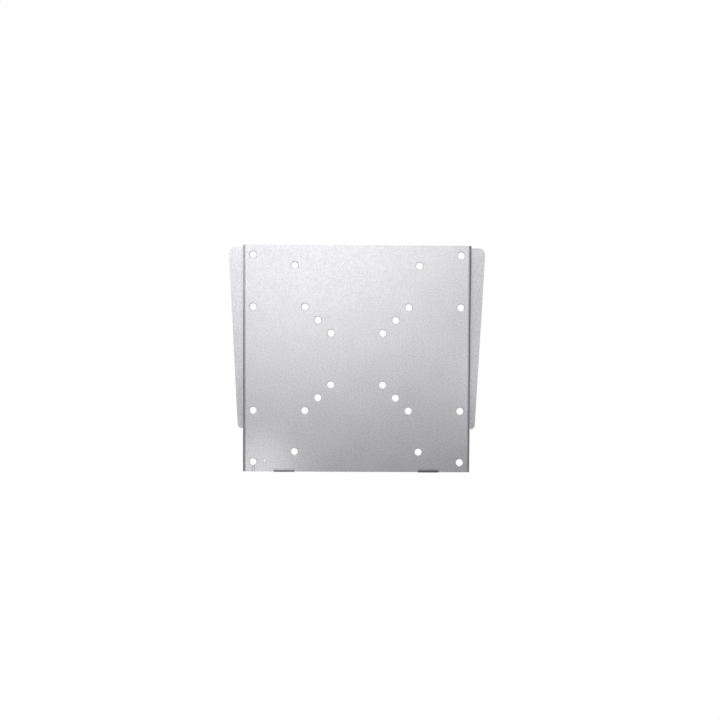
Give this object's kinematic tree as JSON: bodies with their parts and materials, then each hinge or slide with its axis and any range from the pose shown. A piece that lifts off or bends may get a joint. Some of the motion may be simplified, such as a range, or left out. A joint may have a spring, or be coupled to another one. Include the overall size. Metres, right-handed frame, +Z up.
{
  "type": "tv wall mount",
  "caption": "Flat fixed television wall mount: a square drilled front plate with folded sides hangs by hook fingers in the gutters of an open wall frame with tapered wings.",
  "frame": {"origin": "centre of the four wall slots, on the plane of the wall", "axes": "+X to the right seen from the front, +Y into the wall, +Z up"},
  "size_m": [0.2498, 0.02, 0.2198],
  "materials": {
    "silver_coat": "silver-grey metallic powder coat, satin, finely mottled",
    "zinc_steel": "bright zinc plate"
  },
  "bodies": {
    "wall_plate": {"wall_plate": "silver_coat"},
    "front_plate": {"front_plate": "silver_coat", "lock_nut_left": "zinc_steel", "lock_nut_right": "zinc_steel"}
  },
  "joints": [
    {"name": "lift_off", "type": "slide", "parent": "wall_plate", "child": "front_plate", "axis": [0, 0, 1], "range_m": [0, 0.011]}
  ]
}
